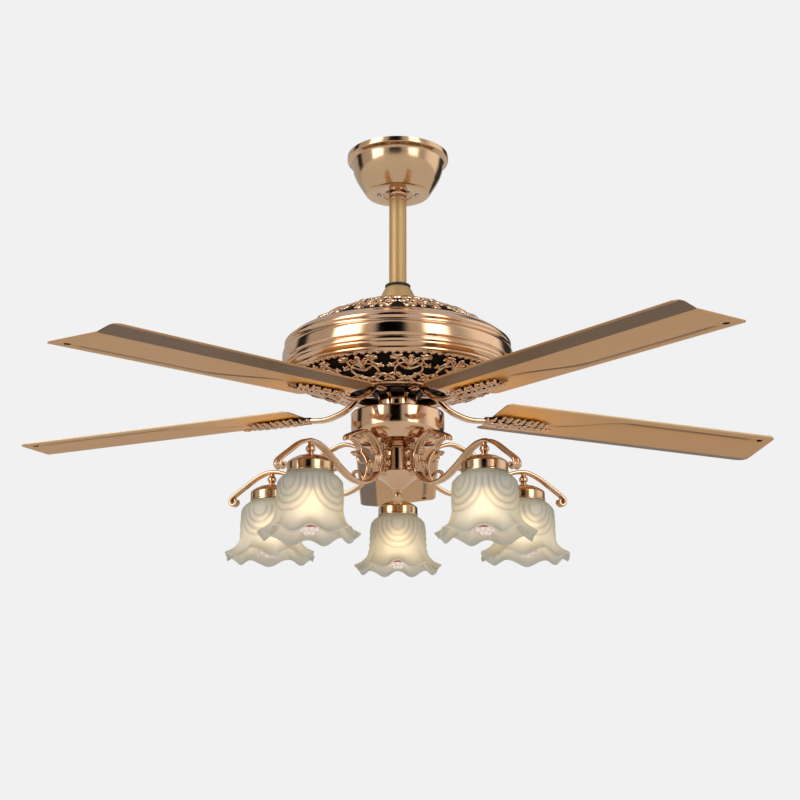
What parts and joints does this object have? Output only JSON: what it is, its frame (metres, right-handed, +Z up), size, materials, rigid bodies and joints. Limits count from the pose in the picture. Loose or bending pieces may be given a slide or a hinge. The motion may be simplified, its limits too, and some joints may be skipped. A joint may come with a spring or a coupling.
{
  "type": "ceiling fan with light",
  "caption": "Ceiling fan on a short downrod, with metal blades on cast irons, a domed filigree housing and scrolled arms that carry ruffled frosted bell shades.",
  "frame": {"origin": "centre of the hanger bracket's top face, which lies flat against the ceiling", "axes": "+Z up into the ceiling, along the downrod and the axis that the blades turn about; -Y towards the front, between lamps 3 and 4; +X to the right"},
  "size_m": [1.2698, 1.2486, 0.6666],
  "materials": {
    "polished_rose_gold": "polished, mirror-bright",
    "satin_gold": "satin, fine brushed",
    "champagne_sheet": "satin metallic lacquer",
    "zinc_steel": "bright zinc plate",
    "core_steel": "oiled lamination steel",
    "black_rubber": "matt",
    "white_nylon": "moulded",
    "white_porcelain": "glazed",
    "black_plastic": "moulded",
    "frosted_glass": "acid-frosted",
    "warm_bulb": "opal diffuser"
  },
  "bodies": {
    "ceiling_mount": {"hanger_bracket": "zinc_steel", "canopy": "satin_gold", "canopy_screw_1": "zinc_steel", "canopy_screw_2": "zinc_steel"},
    "ball_seat": {"ball_seat_ring": "white_nylon"},
    "fan_frame": {"hanger_ball": "black_plastic", "ball_pin": "zinc_steel", "downrod": "satin_gold", "rubber_ring": "black_rubber", "yoke_cover": "satin_gold", "motor_yoke": "zinc_steel", "clevis_pin": "zinc_steel", "housing_dome": "polished_rose_gold", "housing_grille": "polished_rose_gold", "stator": "core_steel", "motor_shaft": "zinc_steel", "bearing_top": "zinc_steel", "bearing_bottom": "zinc_steel", "fitter_neck": "polished_rose_gold", "switch_cup": "polished_rose_gold", "receiver": "black_plastic", "kit_column": "polished_rose_gold", "kit_cone": "satin_gold", "finial": "polished_rose_gold", "lamp_arm_1": "polished_rose_gold", "lamp_arm_2": "polished_rose_gold", "lamp_arm_3": "polished_rose_gold", "lamp_arm_4": "polished_rose_gold", "lamp_arm_5": "polished_rose_gold", "shade_holder_1": "satin_gold", "shade_holder_2": "satin_gold", "shade_holder_3": "satin_gold", "shade_holder_4": "satin_gold", "shade_holder_5": "satin_gold", "shade_1": "frosted_glass", "shade_2": "frosted_glass", "shade_3": "frosted_glass", "shade_4": "frosted_glass", "shade_5": "frosted_glass", "lamp_socket_1": "white_porcelain", "lamp_socket_2": "white_porcelain", "lamp_socket_3": "white_porcelain", "lamp_socket_4": "white_porcelain", "lamp_socket_5": "white_porcelain", "bulb_1": "warm_bulb", "bulb_2": "warm_bulb", "bulb_3": "warm_bulb", "bulb_4": "warm_bulb", "bulb_5": "warm_bulb"},
    "rotor": {"rotor": "core_steel", "blade_iron_1": "polished_rose_gold", "blade_iron_2": "polished_rose_gold", "blade_iron_3": "polished_rose_gold", "blade_iron_4": "polished_rose_gold", "blade_iron_5": "polished_rose_gold", "blade_1": "champagne_sheet", "blade_2": "champagne_sheet", "blade_3": "champagne_sheet", "blade_4": "champagne_sheet", "blade_5": "champagne_sheet"}
  },
  "joints": [
    {"name": "swing_x", "type": "hinge", "parent": "ceiling_mount", "child": "ball_seat", "pos_m": [0, 0, -0.036], "axis": [1, 0, 0], "range_deg": [-8, 8]},
    {"name": "swing_y", "type": "hinge", "parent": "ball_seat", "child": "fan_frame", "pos_m": [0, 0, -0.036], "axis": [0, 1, 0], "range_deg": [-8, 8]},
    {"name": "fan_spin", "type": "hinge", "parent": "fan_frame", "child": "rotor", "pos_m": [0, 0, -0.3], "axis": [0, 0, 1], "continuous": true}
  ]
}
